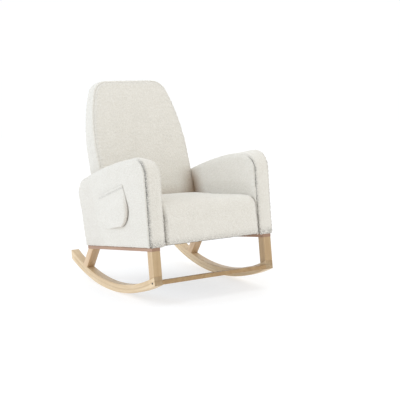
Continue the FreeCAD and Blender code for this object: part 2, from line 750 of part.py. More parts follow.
def seat():
    bores = cross_bores(SEAT_INNER_FACE, SEAT_BOLTS)
    bores += [flipped(b) for b in bores]
    nodes = seat_rails()
    nodes["seat_corner_blocks"] = corner_blocks()
    places = [SPRING_PITCH * (k - (SPRING_COUNT - 1) / 2) for k in range(SPRING_COUNT)]
    ends = (SEAT_FRAME_FRONT + SEAT_RAIL_THICK / 2, SEAT_FRAME_BACK - SEAT_RAIL_THICK / 2)
    nodes["seat_springs"] = Part.makeCompound([spring(x) for x in places])
    nodes["spring_clips"] = Part.makeCompound([spring_clip(x, y) for x in places for y in ends])
    nodes["seat_felt"] = box(
        -SEAT_FRAME_HALF, SEAT_FRAME_HALF, SEAT_FRAME_FRONT, SEAT_FRAME_BACK, FELT_Z, FELT_Z + FELT
    )
    nodes["seat_padding"] = cut_all(seat_padding(), bores)
    nodes["seat_cover"] = cut_all(seat_body(0).cut(seat_body(COVER)), bores)
    under = SEAT_BOTTOM - DUST_COVER
    nodes["dust_cover"] = box(
        -SEAT_FRAME_HALF, SEAT_FRAME_HALF, SEAT_FRAME_FRONT, BACK_REAR_Y - 14, under, SEAT_BOTTOM
    )
    return nodes


def back():
    bores = cross_bores(BACK_INNER_FACE, BACK_BOLTS)
    bores += [flipped(b) for b in bores]
    nodes = back_timbers()
    nodes["back_straps"] = back_straps()
    nodes["back_padding"] = cut_all(back_padding(), bores)
    nodes["back_rear_board"] = back_rear_board()
    nodes["back_cover"] = cut_all(back_cover(), bores)
    return nodes


def hardware():
    rail_bolts, rail_washers, tee_nuts, _ = rail_hardware()
    seat_bolts, seat_washers, seat_inserts = cross_hardware(SEAT_INNER_FACE, SEAT_BOLTS)
    back_bolts, back_washers, back_inserts = cross_hardware(BACK_INNER_FACE, BACK_BOLTS)
    return {
        "rail_bolts": both(rail_bolts),
        "tee_nuts": both(tee_nuts),
        "seat_to_arm_bolts": both(seat_bolts),
        "back_to_arm_bolts": both(back_bolts),
        "washers": both(rail_washers + seat_washers + back_washers),
        "threaded_inserts": both(seat_inserts + back_inserts),
    }


def leaned(shape):
    placed = shape.copy()
    placed.rotate(V(0, 0, 0), V(1, 0, 0), -REST_TILT)
    return placed


def main():
    os.makedirs("parts", exist_ok=True)
    level = {}
    for section in (underframe, arms, seat, back, hardware):
        level.update(section())
    nodes = {name: leaned(shape) for name, shape in level.items()}
    whole = Part.makeCompound(list(nodes.values())).optimalBoundingBox(False)
    shift = V(0, -(whole.YMin + whole.YMax) / 2, -whole.ZMin)
    print("contact line at y =", round(CONTACT_Y + shift.y, 2), "box", whole)
    for name, shape in nodes.items():
        shape.translate(shift)
        volume = sum(solid.Volume for solid in shape.Solids)
        print("%-24s solids %2d valid %s volume %.0f" % (name, len(shape.Solids), shape.isValid(), volume))
        shape.exportStep("parts/%s.step" % name)


main()
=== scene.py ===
"""The rocking nursery chair's looks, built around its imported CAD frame."""
import math

import bmesh
import bpy
import numpy as np
from mathutils import Matrix, Vector, noise
from mathutils.bvhtree import BVHTree


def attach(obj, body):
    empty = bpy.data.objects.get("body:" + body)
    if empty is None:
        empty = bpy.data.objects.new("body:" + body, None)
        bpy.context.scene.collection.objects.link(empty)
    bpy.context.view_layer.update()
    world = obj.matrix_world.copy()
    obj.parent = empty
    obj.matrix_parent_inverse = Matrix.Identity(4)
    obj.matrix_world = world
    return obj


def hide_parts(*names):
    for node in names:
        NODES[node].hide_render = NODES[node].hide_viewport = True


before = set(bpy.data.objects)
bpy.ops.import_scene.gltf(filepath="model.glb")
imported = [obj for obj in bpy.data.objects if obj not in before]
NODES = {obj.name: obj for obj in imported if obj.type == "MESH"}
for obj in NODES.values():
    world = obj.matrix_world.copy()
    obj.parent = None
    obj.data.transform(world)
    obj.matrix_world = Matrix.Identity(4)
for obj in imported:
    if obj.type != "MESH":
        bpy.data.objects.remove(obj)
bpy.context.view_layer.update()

# The chair leans back at rest. The soft forms are made with the frame stood level, and then leaned.
LEAN = math.radians(8.1)
LEVEL = np.array(Matrix.Rotation(LEAN, 3, "X"))

VOXEL = 0.007
SIM_STEPS = 20
FOOT_BAND = 0.006  # points this close above a cover's lowest edge are held there
SEAM_BAND = 0.004  # and points this close to a seam
SEAM_REACH = 0.060  # distances from a seam are kept up to this
SEAM_WELT = 0.0125  # a second row of thread runs this far beside each deep seam
CORNER_REACH = 0.11  # the dark in a deep corner fades out over this
PILE_SIZE = 0.012
PILE_HEIGHT = 0.0012


def to_level(points):
    return np.asarray(points) @ LEVEL.T


def to_row(points):
    return np.asarray(points) @ LEVEL


def level_points(node):
    return to_level([v.co for v in NODES[node].data.vertices])


def level_box(node):
    points = level_points(node)
    return points.min(0), points.max(0)


# ---------------------------------------------------------------- mesh helpers

def ramp(value, start, end):
    """0 before start, 1 after end, eased between."""
    t = np.clip((np.asarray(value) - start) / (end - start), 0, 1)
    return t * t * (3 - 2 * t)


def points_of(piece):
    flat = np.zeros(len(piece.data.vertices) * 3)
    piece.data.vertices.foreach_get("co", flat)
    return flat.reshape(-1, 3)


def set_points(piece, points):
    piece.data.vertices.foreach_set("co", np.asarray(points, np.float32).ravel())
    piece.data.update()


def normals_of(piece):
    flat = np.zeros(len(piece.data.vertices) * 3)
    piece.data.vertices.foreach_get("normal", flat)
    return flat.reshape(-1, 3)


def new_piece(name, mesh):
    piece = bpy.data.objects.new(name, mesh)
    bpy.context.scene.collection.objects.link(piece)
    return piece


def mesh_piece(name, points, faces):
    mesh = bpy.data.meshes.new(name)
    mesh.from_pydata([tuple(p) for p in points], [], faces)
    mesh.update()
    return new_piece(name, mesh)


def settle(piece):
    """Applies every modifier."""
    graph = bpy.context.evaluated_depsgraph_get()
    made = bpy.data.meshes.new_from_object(piece.evaluated_get(graph))
    piece.modifiers.clear()
    piece.data = made
    return piece


def store(piece, name, values):
    layer = piece.data.attributes.get(name) or piece.data.attributes.new(name, "FLOAT", "POINT")
    layer.data.foreach_set("value", np.asarray(values, np.float32))


def stored(piece, name):
    values = np.zeros(len(piece.data.vertices), np.float32)
    piece.data.attributes[name].data.foreach_get("value", values)
    return values.astype(float)


def smooth_shading(piece):
    piece.data.polygons.foreach_set("use_smooth", [True] * len(piece.data.polygons))
    piece.data.update()


def outer_form(node, name):
    """A fine even mesh over the outside of a CAD cover, level, without the hollow inside it."""
    bm = bmesh.new()
    for p in level_points(node):
        bm.verts.new(p)
    made = bmesh.ops.convex_hull(bm, input=bm.verts)
    loose = {v for v in made["geom_interior"] + made["geom_unused"] if isinstance(v, bmesh.types.BMVert)}
    bmesh.ops.delete(bm, geom=list(loose), context="VERTS")
    mesh = bpy.data.meshes.new(name)
    bm.to_mesh(mesh)
    bm.free()
    piece = new_piece(name, mesh)
    remesh = piece.modifiers.new("Voxels", "REMESH")
    remesh.mode = "VOXEL"
    remesh.voxel_size = VOXEL
    even = piece.modifiers.new("Even", "SMOOTH")
    even.factor = 0.5
    even.iterations = 5
    return settle(piece)


def polygon_of(points):
    """The convex outline of points in a plane, in order."""
    ordered = sorted(set(map(tuple, np.round(points, 5))))

    def half(run):
        chain = []
        for p in run:
            while len(chain) > 1:
                (ax, ay), (bx, by) = chain[-2], chain[-1]
                if (bx - ax) * (p[1] - ay) - (by - ay) * (p[0] - ax) > 0:
                    break
                chain.pop()
            chain.append(p)
        return chain[:-1]

    return np.array(half(ordered) + half(ordered[::-1]))


def edge_distance(points, outline, open_below):
    """Distance in from an outline, and how far round it the nearest point is; its bottom edge is left out."""
    start = outline
    end = np.roll(outline, -1, axis=0)
    keep = ~((start[:, 1] < open_below) & (end[:, 1] < open_below))
    run = np.linalg.norm(end - start, axis=1)
    first = np.concatenate([[0], np.cumsum(run)[:-1]])
    best = np.full(len(points), 9.0)
    along = np.zeros(len(points))
    for a, b, length, base in zip(start[keep], end[keep], run[keep], first[keep]):
        way = (b - a) / length
        t = np.clip((points - a) @ way, 0, length)
        gap = np.linalg.norm(points - a - t[:, None] * way, axis=1)
        nearer = gap < best
        best = np.where(nearer, gap, best)
        along = np.where(nearer, base + t, along)
    return best, along


# ---------------------------------------------------------------- soft pieces

def inflate(piece, pinned, cap, pressure):
    """Blows the cover up like a stuffed one, by less than cap. The pinned points, such as seams, stay."""
    rest = points_of(piece)
    group = piece.vertex_groups.new(name="pin")
    group.add(np.flatnonzero(pinned).tolist(), 1.0, "REPLACE")
    cloth = piece.modifiers.new("Cloth", "CLOTH")
    cloth.settings.quality = 6
    cloth.settings.mass = 0.3
    cloth.settings.tension_stiffness = 12
    cloth.settings.compression_stiffness = 12
    cloth.settings.shear_stiffness = 6
    cloth.settings.bending_stiffness = 1.5
    cloth.settings.use_pressure = True
    cloth.settings.uniform_pressure_force = pressure
    cloth.settings.effector_weights.gravity = 0
    cloth.settings.vertex_group_mass = "pin"
    cloth.collision_settings.use_collision = False
    cloth.point_cache.frame_start = 1
    cloth.point_cache.frame_end = SIM_STEPS
    for step in range(1, SIM_STEPS + 1):
        bpy.context.scene.frame_set(step)
    settle(piece)
    bpy.context.scene.frame_set(1)
    piece.vertex_groups.clear()
    moved = points_of(piece) - rest
    length = np.linalg.norm(moved, axis=1, keepdims=True)
    share = np.minimum(1, cap * np.tanh(length / cap) / np.maximum(length, 1e-9))
    set_points(piece, rest + moved * share)


def divide(piece):
    modifier = piece.modifiers.new("Divide", "SUBSURF")
    modifier.levels = 1
    modifier.render_levels = 1
    settle(piece)


def sink_seams(piece, depth, width):
    """Draws the cover in along its seams, and puckers it a little beside them."""
    gap = stored(piece, "seam")
    held = stored(piece, "seam_held")
    along = stored(piece, "seam_along")
    groove = np.exp(-(gap / width) ** 2)
    pucker = 0.16 * np.sin(along * 2 * math.pi / 0.023) + 0.14 * np.sin(along * 2 * math.pi / 0.0137 + 1.3)
    lip = np.exp(-((np.abs(gap) - 2.4 * width) / (1.5 * width)) ** 2) * (0.22 + pucker)
    amount = held * depth * (lip - groove)
    set_points(piece, points_of(piece) + normals_of(piece) * amount[:, None])


def roughen(piece, height, seed):
    """The pile's uneven surface."""
    spots = points_of(piece)
    shift = Vector((seed * 3.1, seed * 1.7, seed * 2.3))
    lumps = np.array([noise.noise(Vector(p) / PILE_SIZE + shift) for p in spots])
    set_points(piece, spots + normals_of(piece) * (lumps * height)[:, None])


def mark(piece, ragged, deep=0.0):
    """Where the pile is ragged, and where it is darkened as in deep shade."""
    count = len(piece.data.vertices)
    store(piece, "ragged", np.clip(np.zeros(count) + ragged, 0, 1))
    store(piece, "deep", np.clip(np.zeros(count) + deep, 0, 1))


def near_seam(piece, width):
    """1 at a seam, fading over this width on its gusset side."""
    gap = stored(piece, "seam")
    return np.clip(1 + gap / width, 0, 1) * (gap < 0.003)


def distance_to(piece, other, reach):
    """How far each point of a piece is from the surface of another."""
    tree = BVHTree.FromObject(other, bpy.context.evaluated_depsgraph_get())
    found = (tree.find_nearest(Vector(p), reach)[3] for p in points_of(piece))
    return np.array([reach if gap is None else gap for gap in found])


def closeness(piece, other, reach):
    """1 where a piece touches another, 0 this far from it."""
    return 1 - distance_to(piece, other, reach) / reach


def paint_corner_shade(arms, seat, back):
    """Darkens the low corners between the arms, the back and the seat, which soft light leaves too pale."""
    for arm in arms:
        low_down = ramp(-to_level(points_of(arm))[:, 2], -0.62, -0.50)
        store(arm, "deep", closeness(arm, back, CORNER_REACH) ** 1.6 * low_down)
    low_down = ramp(-to_level(points_of(back))[:, 2], -0.62, -0.48)
    close = sum(closeness(back, arm, CORNER_REACH) ** 1.6 for arm in arms) * low_down
    foot = 0.35 * closeness(back, seat, 0.06) ** 1.5
    store(back, "deep", np.clip(close + foot, 0, 1))
    store(seat, "deep", 0.4 * closeness(seat, back, 0.03))


def finish_soft(piece, body):
    """Leans the finished piece and puts it on that body."""
    set_points(piece, to_row(points_of(piece)))
    smooth_shading(piece)
    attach(piece, body)


# ---------------------------------------------------------------- materials

class Nodes:
    """Short ways to add nodes to one material."""

    def __init__(self, name):
        self.material = bpy.data.materials.new(name)
        self.material.use_nodes = True
        self.tree = self.material.node_tree
        self.shader = self.tree.nodes["Principled BSDF"]

    def add(self, kind, settings=None, **links):
        node = self.tree.nodes.new(kind)
        for key, value in (settings or {}).items():
            setattr(node, key, value)
        for key, value in links.items():
            self.put(node.inputs[key.replace("_", " ")], value)
        return node

    def put(self, socket, value):
        if isinstance(value, bpy.types.NodeSocket):
            self.tree.links.new(value, socket)
        else:
            socket.default_value = value

    def math(self, operation, a, b=0.0):
        node = self.tree.nodes.new("ShaderNodeMath")
        node.operation = operation
        self.put(node.inputs[0], a)
        self.put(node.inputs[1], b)
        return node.outputs[0]

    def mix(self, share, a, b, blend="MIX"):
        node = self.tree.nodes.new("ShaderNodeMix")
        node.data_type = "RGBA"
        node.blend_type = blend
        self.put(node.inputs["Factor"], share)
        self.put(node.inputs["A"], a)
        self.put(node.inputs["B"], b)
        return node.outputs["Result"]

    def noise(self, where, scale, detail=2.0, rough=0.5, distortion=0.0):
        return self.add(
            "ShaderNodeTexNoise", Vector=where, Scale=scale, Detail=detail, Roughness=rough,
            Distortion=distortion,
        ).outputs["Fac"]

    def remap(self, value, low, high, to_low, to_high):
        node = self.add("ShaderNodeMapRange", {"interpolation_type": "SMOOTHSTEP"}, Value=value)
        node.inputs["From Min"].default_value = low
        node.inputs["From Max"].default_value = high
        node.inputs["To Min"].default_value = to_low
        node.inputs["To Max"].default_value = to_high
        return node.outputs["Result"]

    def place(self):
        return self.add("ShaderNodeTexCoord").outputs["Object"]

    def attribute(self, name):
        return self.add("ShaderNodeAttribute", {"attribute_name": name}).outputs["Fac"]

    def bump(self, height, strength, distance):
        return self.add(
            "ShaderNodeBump", Strength=strength, Distance=distance, Height=height
        ).outputs["Normal"]


def srgb(r, g, b):
    def linear(c):
        c /= 255
        return c / 12.92 if c <= 0.04045 else ((c + 0.055) / 1.055) ** 2.4

    return (linear(r), linear(g), linear(b), 1)


def boucle_material():
    """Looped cream boucle: curls about 5 mm across, finer fibres on them, and drawn-in seams darkened with
    painted shade.

    "seam" and "seam_held" place the seams, "ragged" is where loops are pulled beside them, and "deep"
    darkens a spot as if it lay in deep shade.
    """
    m = Nodes("boucle_cream")
    place = m.place()
    drift = m.add("ShaderNodeTexNoise", Vector=place, Scale=90.0, Detail=2.0).outputs["Color"]
    bent = m.add("ShaderNodeVectorMath", {"operation": "MULTIPLY_ADD"})
    m.put(bent.inputs[0], drift)
    m.put(bent.inputs[1], (0.006, 0.006, 0.006))
    m.put(bent.inputs[2], place)
    where = bent.outputs[0]
    curls = m.add(
        "ShaderNodeTexVoronoi", {"feature": "SMOOTH_F1"}, Vector=where, Scale=190.0, Smoothness=0.4
    ).outputs["Distance"]
    tufts = m.add("ShaderNodeTexVoronoi", Vector=where, Scale=70.0).outputs["Distance"]
    fibres = m.noise(where, 900.0, detail=3.0, rough=0.65)
    knots = m.noise(where, 330.0, detail=2.0, rough=0.6, distortion=1.2)
    clumps = m.noise(place, 120.0, detail=2.0, rough=0.55, distortion=0.8)
    specks = m.noise(place, 240.0, detail=2.0, rough=0.6, distortion=0.6)
    held = m.attribute("seam_held")
    shift = m.math("MULTIPLY_ADD", clumps, 0.011)
    shift.node.inputs[2].default_value = -0.0055
    gap = m.math("ADD", m.attribute("seam"), shift)
    line = m.remap(m.math("ABSOLUTE", gap), 0.0006, 0.0036, 1.0, 0.0)
    second = m.remap(m.math("ABSOLUTE", m.math("ADD", gap, SEAM_WELT)), 0.0004, 0.0030, 1.0, 0.0)
    second = m.math("MULTIPLY", second, m.remap(clumps, 0.36, 0.56, 0.75, 0.0))
    line = m.math("MULTIPLY", m.math("MAXIMUM", line, second), m.math("MULTIPLY", held, held))
    patch = m.noise(place, 14.0, detail=3.0)
    colour = m.mix(patch, srgb(231, 228, 220), srgb(239, 236, 229))
    # the hollows between the curls are darkened: painted shade in the pile
    colour = m.mix(m.remap(curls, 0.10, 0.62, 0.0, 0.40), colour, srgb(206, 199, 186))
    colour = m.mix(m.remap(knots, 0.42, 0.66, 0.0, 0.30), colour, srgb(248, 247, 243))
    loose = m.math("MULTIPLY", m.attribute("ragged"), m.remap(specks, 0.46, 0.56, 0.0, 0.95))
    colour = m.mix(loose, colour, srgb(112, 106, 98))
    # the seam lines are painted shade of the drawn-in seam grooves, and the second row beside each seam is
    # darkened with them
    colour = m.mix(m.math("MULTIPLY", line, 0.8), colour, srgb(86, 80, 72))
    colour = m.mix(m.attribute("deep"), colour, (0.47, 0.35, 0.25, 1), blend="MULTIPLY")
    m.put(m.shader.inputs["Base Color"], colour)
    m.put(m.shader.inputs["Roughness"], m.remap(fibres, 0.3, 0.7, 0.86, 1.0))
    m.put(m.shader.inputs["Diffuse Roughness"], 0.7)
    m.put(m.shader.inputs["Specular IOR Level"], 0.15)
    m.put(m.shader.inputs["Sheen Weight"], 0.28)
    m.put(m.shader.inputs["Sheen Roughness"], 0.45)
    m.put(m.shader.inputs["Sheen Tint"], (1.0, 0.98, 0.94, 1))
    height = m.math("MULTIPLY", curls, -1.0)
    height = m.math("ADD", height, m.math("MULTIPLY", tufts, -0.5))
    height = m.math("ADD", height, m.math("MULTIPLY", knots, 0.9))
    height = m.math("ADD", height, m.math("MULTIPLY", fibres, 0.35))
    height = m.math("ADD", height, m.math("MULTIPLY", line, -1.6))
    m.put(m.shader.inputs["Normal"], m.bump(height, 0.55, 0.0022))
    return m.material


def wood_material(name, light, dark, grain_way, bent=None):
    """Clear-lacquered pale wood: long fine grain, pores, darker growth bands and rubbed edges.

    Sides that face the front or back are darkened, in place of shade that soft light doesn't give them.
    """
    m = Nodes(name)
    place = m.place()
    if bent:
        centre_y, centre_z, middle = bent
        split = m.add("ShaderNodeSeparateXYZ", Vector=place)
        y = m.math("SUBTRACT", split.outputs["Y"], centre_y)
        z = m.math("SUBTRACT", split.outputs["Z"], centre_z)
        reach = m.math("SQRT", m.math("ADD", m.math("MULTIPLY", y, y), m.math("MULTIPLY", z, z)))
        turn = m.math("MULTIPLY", m.math("ARCTAN2", y, m.math("MULTIPLY", z, -1.0)), middle)
        joined = m.add("ShaderNodeCombineXYZ", X=split.outputs["X"], Y=turn, Z=reach)
        along = joined.outputs["Vector"]
    else:
        turned = m.add("ShaderNodeMapping", Vector=place)
        turned.inputs["Rotation"].default_value = (grain_way, 0, 0)
        along = turned.outputs["Vector"]
    long_way = m.add("ShaderNodeMapping", Vector=along)
    long_way.inputs["Scale"].default_value = (1.0, 0.07, 1.0)
    where = long_way.outputs["Vector"]
    bands = m.noise(where, 42.0, detail=4.0, rough=0.55, distortion=0.6)
    grain = m.noise(where, 260.0, detail=4.0, rough=0.6)
    pore_way = m.add("ShaderNodeMapping", Vector=along)
    pore_way.inputs["Scale"].default_value = (1.0, 0.035, 1.0)
    pores = m.noise(pore_way.outputs["Vector"], 900.0, detail=2.0, rough=0.5)
    colour = m.mix(m.remap(bands, 0.30, 0.68, 0.0, 1.0), light, dark)
    colour = m.mix(m.remap(grain, 0.45, 0.75, 0.0, 0.35), colour, dark)
    deep = tuple(c * 0.62 for c in dark[:3]) + (1,)
    colour = m.mix(m.remap(pores, 0.60, 0.72, 0.0, 0.45), colour, deep)
    height = m.math("SUBTRACT", m.math("MULTIPLY", grain, 0.4), m.remap(pores, 0.60, 0.72, 0.0, 0.6))
    if bent:
        layer = m.math("ABSOLUTE", m.math("SUBTRACT", reach, middle))
        glue = m.remap(layer, 0.0003, 0.0013, 1.0, 0.0)
        above = m.math("GREATER_THAN", middle, reach)
        colour = m.mix(m.math("MULTIPLY", above, 0.22), colour, dark)
        colour = m.mix(m.math("MULTIPLY", glue, 0.75), colour, deep)
        height = m.math("SUBTRACT", height, m.math("MULTIPLY", glue, 1.2))
    worn = m.remap(m.add("ShaderNodeNewGeometry").outputs["Pointiness"], 0.52, 0.60, 0.0, 0.35)
    colour = m.mix(worn, colour, tuple(min(1, c * 1.12) for c in light[:3]) + (1,))
    facing = m.add("ShaderNodeSeparateXYZ", Vector=m.add("ShaderNodeTexCoord").outputs["Normal"])
    start, end, shade = (0.62, 0.90, (0.56, 0.52, 0.46, 1)) if bent else (0.30, 0.85, (0.80, 0.78, 0.73, 1))
    front = m.remap(m.math("ABSOLUTE", facing.outputs["Y"]), start, end, 0.0, 1.0)
    colour = m.mix(front, colour, shade, blend="MULTIPLY")
    m.put(m.shader.inputs["Base Color"], colour)
    m.put(m.shader.inputs["Roughness"], m.remap(grain, 0.3, 0.7, 0.38, 0.52))
    m.put(m.shader.inputs["Coat Weight"], 0.18)
    m.put(m.shader.inputs["Coat Roughness"], 0.32)
    m.put(m.shader.inputs["Normal"], m.bump(height, 0.22, 0.0008))
    return m.material


def metal_material(name, colour, roughness):
    m = Nodes(name)
    place = m.place()
    brushed = m.noise(place, 1400.0, detail=2.0)
    stains = m.noise(place, 90.0, detail=4.0)
    m.put(m.shader.inputs["Metallic"], 0.95)
    colour = m.mix(m.remap(stains, 0.4, 0.7, 0.0, 0.4), colour, srgb(112, 108, 102))
    m.put(m.shader.inputs["Base Color"], colour)
    m.put(m.shader.inputs["Roughness"], m.remap(brushed, 0.3, 0.7, roughness - 0.06, roughness + 0.1))
    m.put(m.shader.inputs["Normal"], m.bump(brushed, 0.1, 0.0003))
    return m.material


def cloth_material(name, light, dark, pitch, roughness):
    """Plain woven or pressed cloth: crossing threads, each a little uneven."""
    m = Nodes(name)
    place = m.place()
    split = m.add("ShaderNodeSeparateXYZ", Vector=place)
    warp = m.math("SINE", m.math("MULTIPLY", split.outputs["X"], 2 * math.pi / pitch))
    weft = m.math("SINE", m.math("MULTIPLY", split.outputs["Y"], 2 * math.pi / pitch))
    weave = m.math("MULTIPLY", warp, weft)
    fuzz = m.noise(place, 0.6 / pitch, detail=3.0)
    patch = m.noise(place, 20.0, detail=3.0)
    colour = m.mix(m.remap(weave, -1.0, 1.0, 0.0, 1.0), dark, light)
    colour = m.mix(m.remap(patch, 0.3, 0.7, 0.0, 0.25), colour, dark)
    m.put(m.shader.inputs["Base Color"], colour)
    m.put(m.shader.inputs["Roughness"], roughness)
    m.put(m.shader.inputs["Sheen Weight"], 0.1)
    m.put(m.shader.inputs["Normal"], m.bump(m.math("ADD", weave, fuzz), 0.3, 0.0005))
    return m.material


def board_material():
    """Pressed fibre board, brown and mottled."""
    m = Nodes("hardboard_brown")
    place = m.place()
    flecks = m.noise(place, 620.0, detail=4.0, rough=0.7)
    clouds = m.noise(place, 25.0, detail=3.0)
    colour = m.mix(m.remap(flecks, 0.35, 0.7, 0.0, 1.0), srgb(140, 100, 66), srgb(96, 66, 42))
    colour = m.mix(m.remap(clouds, 0.3, 0.7, 0.0, 0.3), colour, srgb(160, 122, 84))
    m.put(m.shader.inputs["Base Color"], colour)
    m.put(m.shader.inputs["Roughness"], m.remap(flecks, 0.3, 0.7, 0.55, 0.75))
    m.put(m.shader.inputs["Normal"], m.bump(flecks, 0.2, 0.0004))
    return m.material


def foam_material():
    """Open-celled foam, slightly yellowed."""
    m = Nodes("foam_cells")
    place = m.place()
    cells = m.add("ShaderNodeTexVoronoi", Vector=place, Scale=700.0).outputs["Distance"]
    clouds = m.noise(place, 18.0, detail=3.0)
    colour = m.mix(m.remap(clouds, 0.3, 0.7, 0.0, 1.0), srgb(238, 226, 178), srgb(226, 206, 150))
    colour = m.mix(m.remap(cells, 0.4, 0.7, 0.0, 0.4), colour, srgb(180, 158, 110))
    m.put(m.shader.inputs["Base Color"], colour)
    m.put(m.shader.inputs["Roughness"], 0.95)
    m.put(m.shader.inputs["Normal"], m.bump(cells, 0.5, 0.0008))
    return m.material


# ---------------------------------------------------------------- arms

ARM_SWELL = 0.006
ARM_SEAM_INSET = 0.010  # the seams lie on the arm's sides, this far behind its front edge
SHOULDER_DROP = 0.016  # the padding thins towards the inner front corner of the arm's top


def shape_arm():
    """The left arm, level: outer and inner panels, and a front gusset between two drawn-in seams."""
    low, high = level_box("left_arm_cover")
    piece = outer_form("left_arm_cover", "left_arm")
    spots = points_of(piece)
    outline = polygon_of(level_points("left_arm_cover")[:, 1:])
    inset, _ = edge_distance(spots[:, 1:], outline, low[2] + 0.004)
    outside = spots[:, 0] > (low[0] + high[0]) / 2
    side = np.where(outside, high[0] - spots[:, 0], spots[:, 0] - low[0])
    store(piece, "seam", np.clip(inset - side - ARM_SEAM_INSET, -SEAM_REACH, SEAM_REACH))
    # the seams are deep up the front, and the pile hides them past the peak
    front = outline[:, 0].min()
    store(piece, "seam_held", 1 - 0.93 * ramp(spots[:, 1], front + 0.022, front + 0.085))
    store(piece, "seam_along", np.where(spots[:, 1] < front + 0.05, spots[:, 2], spots[:, 1]))
    gap = stored(piece, "seam")
    foot = spots[:, 2] < low[2] + FOOT_BAND
    pinned = foot | ((np.abs(gap) < SEAM_BAND) & (stored(piece, "seam_held") > 0.5))
    inflate(piece, pinned, ARM_SWELL, 3.0)
    spots = points_of(piece)
    # pressed flat where the seat and the back stand against it
    seat_top = level_box("seat_cover")[1][2]
    free = ramp(spots[:, 2], seat_top - 0.01, seat_top + 0.07) * ramp(-spots[:, 1], -0.06, 0.06)
    spots[:, 0] = np.maximum(spots[:, 0], low[0] - 0.007 * free)
    inward = ramp(high[0] - spots[:, 0], 0.010, high[0] - low[0])
    shoulder = inward * ramp(-spots[:, 1], 0.20, 0.44) * ramp(spots[:, 2], high[2] - 0.13, high[2] - 0.01)
    spots[:, 2] -= SHOULDER_DROP * shoulder
    spots[:, 2] = np.maximum(spots[:, 2], low[2])
    set_points(piece, spots)
    divide(piece)
    spots = points_of(piece)
    hem = ramp(-spots[:, 2], -low[2] - 0.05, -low[2]) * ramp(-spots[:, 1], -front - 0.03, -front - 0.01)
    worn = np.where(spots[:, 0] > (low[0] + high[0]) / 2, 1.0, 0.4)
    mark(piece, worn * near_seam(piece, 0.027) * stored(piece, "seam_held") + 0.7 * hem)
    sink_seams(piece, 0.0065, 0.0050)
    roughen(piece, PILE_HEIGHT, 1)
    return piece


def make_arms():
    left = shape_arm()
    right = new_piece("right_arm", left.data.copy())
    spots = points_of(right)
    set_points(right, spots * (-1, 1, 1))
    right.data.flip_normals()
    for piece, side in ((left, "left"), (right, "right")):
        finish_soft(piece, "root")
        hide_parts(side + "_arm_cover", side + "_arm_padding")
    return left, right


# ---------------------------------------------------------------- seat

SEAT_SWELL = 0.005


def make_seat():
    """One deep block, crowned across, with a full rounded front."""
    low, high = level_box("seat_cover")
    piece = outer_form("seat_cover", "seat")
    spots = points_of(piece)
    foot = spots[:, 2] < low[2] + FOOT_BAND
    rear = spots[:, 1] > high[1] - 0.02
    store(piece, "seam_along", spots[:, 2])
    store(piece, "seam", np.maximum(np.abs(spots[:, 0]) - high[0], -SEAM_REACH))
    fronting = ramp(-spots[:, 1], -low[1] - 0.03, -low[1] - 0.01)
    store(piece, "seam_held", 0.55 * fronting * ramp(-spots[:, 2], -high[2] + 0.04, -high[2] + 0.10))
    inflate(piece, foot | rear, SEAT_SWELL, 3.2)
    spots = points_of(piece)
    spots[:, 0] = np.clip(spots[:, 0], low[0], high[0])
    spots[:, 2] = np.maximum(spots[:, 2], low[2])
    set_points(piece, spots)
    divide(piece)
    spots = points_of(piece)
    hem = ramp(-spots[:, 2], -low[2] - 0.04, -low[2]) * ramp(-spots[:, 1], -low[1] - 0.03, -low[1] - 0.01)
    mark(piece, near_seam(piece, 0.018) * stored(piece, "seam_held") + 0.4 * hem)
    roughen(piece, PILE_HEIGHT, 2)
    finish_soft(piece, "root")
    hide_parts("seat_cover", "seat_padding")
    return piece


# ---------------------------------------------------------------- back

BACK_SWELL = 0.012
BACK_FRONT_SLOPE = 0.2412  # how far back the front and rear panels go for each metre up, chair level
BACK_REAR_SLOPE = 0.1285
BACK_SEAM_INSET = 0.007  # the seams lie on the front and rear panels, this far in from the edge


def make_back():
    """Tall back: front panel, edge gusset and rear panel, joined by a seam round each face."""
    low, high = level_box("back_cover")
    seat_top = level_box("seat_cover")[1][2]
    cover = level_points("back_cover")
    front_plane = (cover[:, 1] - BACK_FRONT_SLOPE * cover[:, 2]).min()
    rear_plane = (cover[:, 1] - BACK_REAR_SLOPE * cover[:, 2]).max()
    piece = outer_form("back_cover", "backrest")
    spots = points_of(piece)
    outline = polygon_of(cover[:, (0, 2)])
    inset, along = edge_distance(spots[:, (0, 2)], outline, low[2] + 0.004)
    to_front = spots[:, 1] - BACK_FRONT_SLOPE * spots[:, 2] - front_plane
    to_rear = rear_plane - spots[:, 1] + BACK_REAR_SLOPE * spots[:, 2]
    side = np.where(to_front < to_rear, to_front, to_rear)
    gap = np.clip(side - inset + BACK_SEAM_INSET, -SEAM_REACH, SEAM_REACH)
    store(piece, "seam", gap)
    store(piece, "seam_held", np.ones(len(spots)))
    store(piece, "seam_along", along)
    foot = spots[:, 2] < low[2] + FOOT_BAND
    inflate(piece, foot | (np.abs(gap) < SEAM_BAND), BACK_SWELL, 3.2)
    spots = points_of(piece)
    # held between the arms and behind the seat, free above them
    free = ramp(spots[:, 2], seat_top + 0.10, seat_top + 0.24)
    room = level_box("seat_cover")[1][0]
    width = room + free * 0.05
    spots[:, 0] = np.clip(spots[:, 0], -width, width)
    plane = front_plane + BACK_FRONT_SLOPE * spots[:, 2]
    spots[:, 1] = np.maximum(spots[:, 1], plane - 0.02 * ramp(spots[:, 2], seat_top, seat_top + 0.16))
    spots[:, 2] = np.maximum(spots[:, 2], low[2])
    set_points(piece, spots)
    divide(piece)
    sink_seams(piece, 0.0036, 0.0075)
    store(piece, "seam_held", np.full(len(piece.data.vertices), 0.36))
    mark(piece, 0.16 * near_seam(piece, 0.020))
    roughen(piece, PILE_HEIGHT, 3)
    finish_soft(piece, "root")
    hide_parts("back_cover", "back_padding")
    return piece


# ---------------------------------------------------------------- pocket

POCKET_ROWS = 40
POCKET_COLUMNS = 46
POCKET_HEM = 0.010
POCKET_WALL = 0.008  # the pocket's front edge is darkened with painted shade this far in
POCKET_THICKNESS = 0.0030
POCKET_PILE_HEIGHT = 0.0005


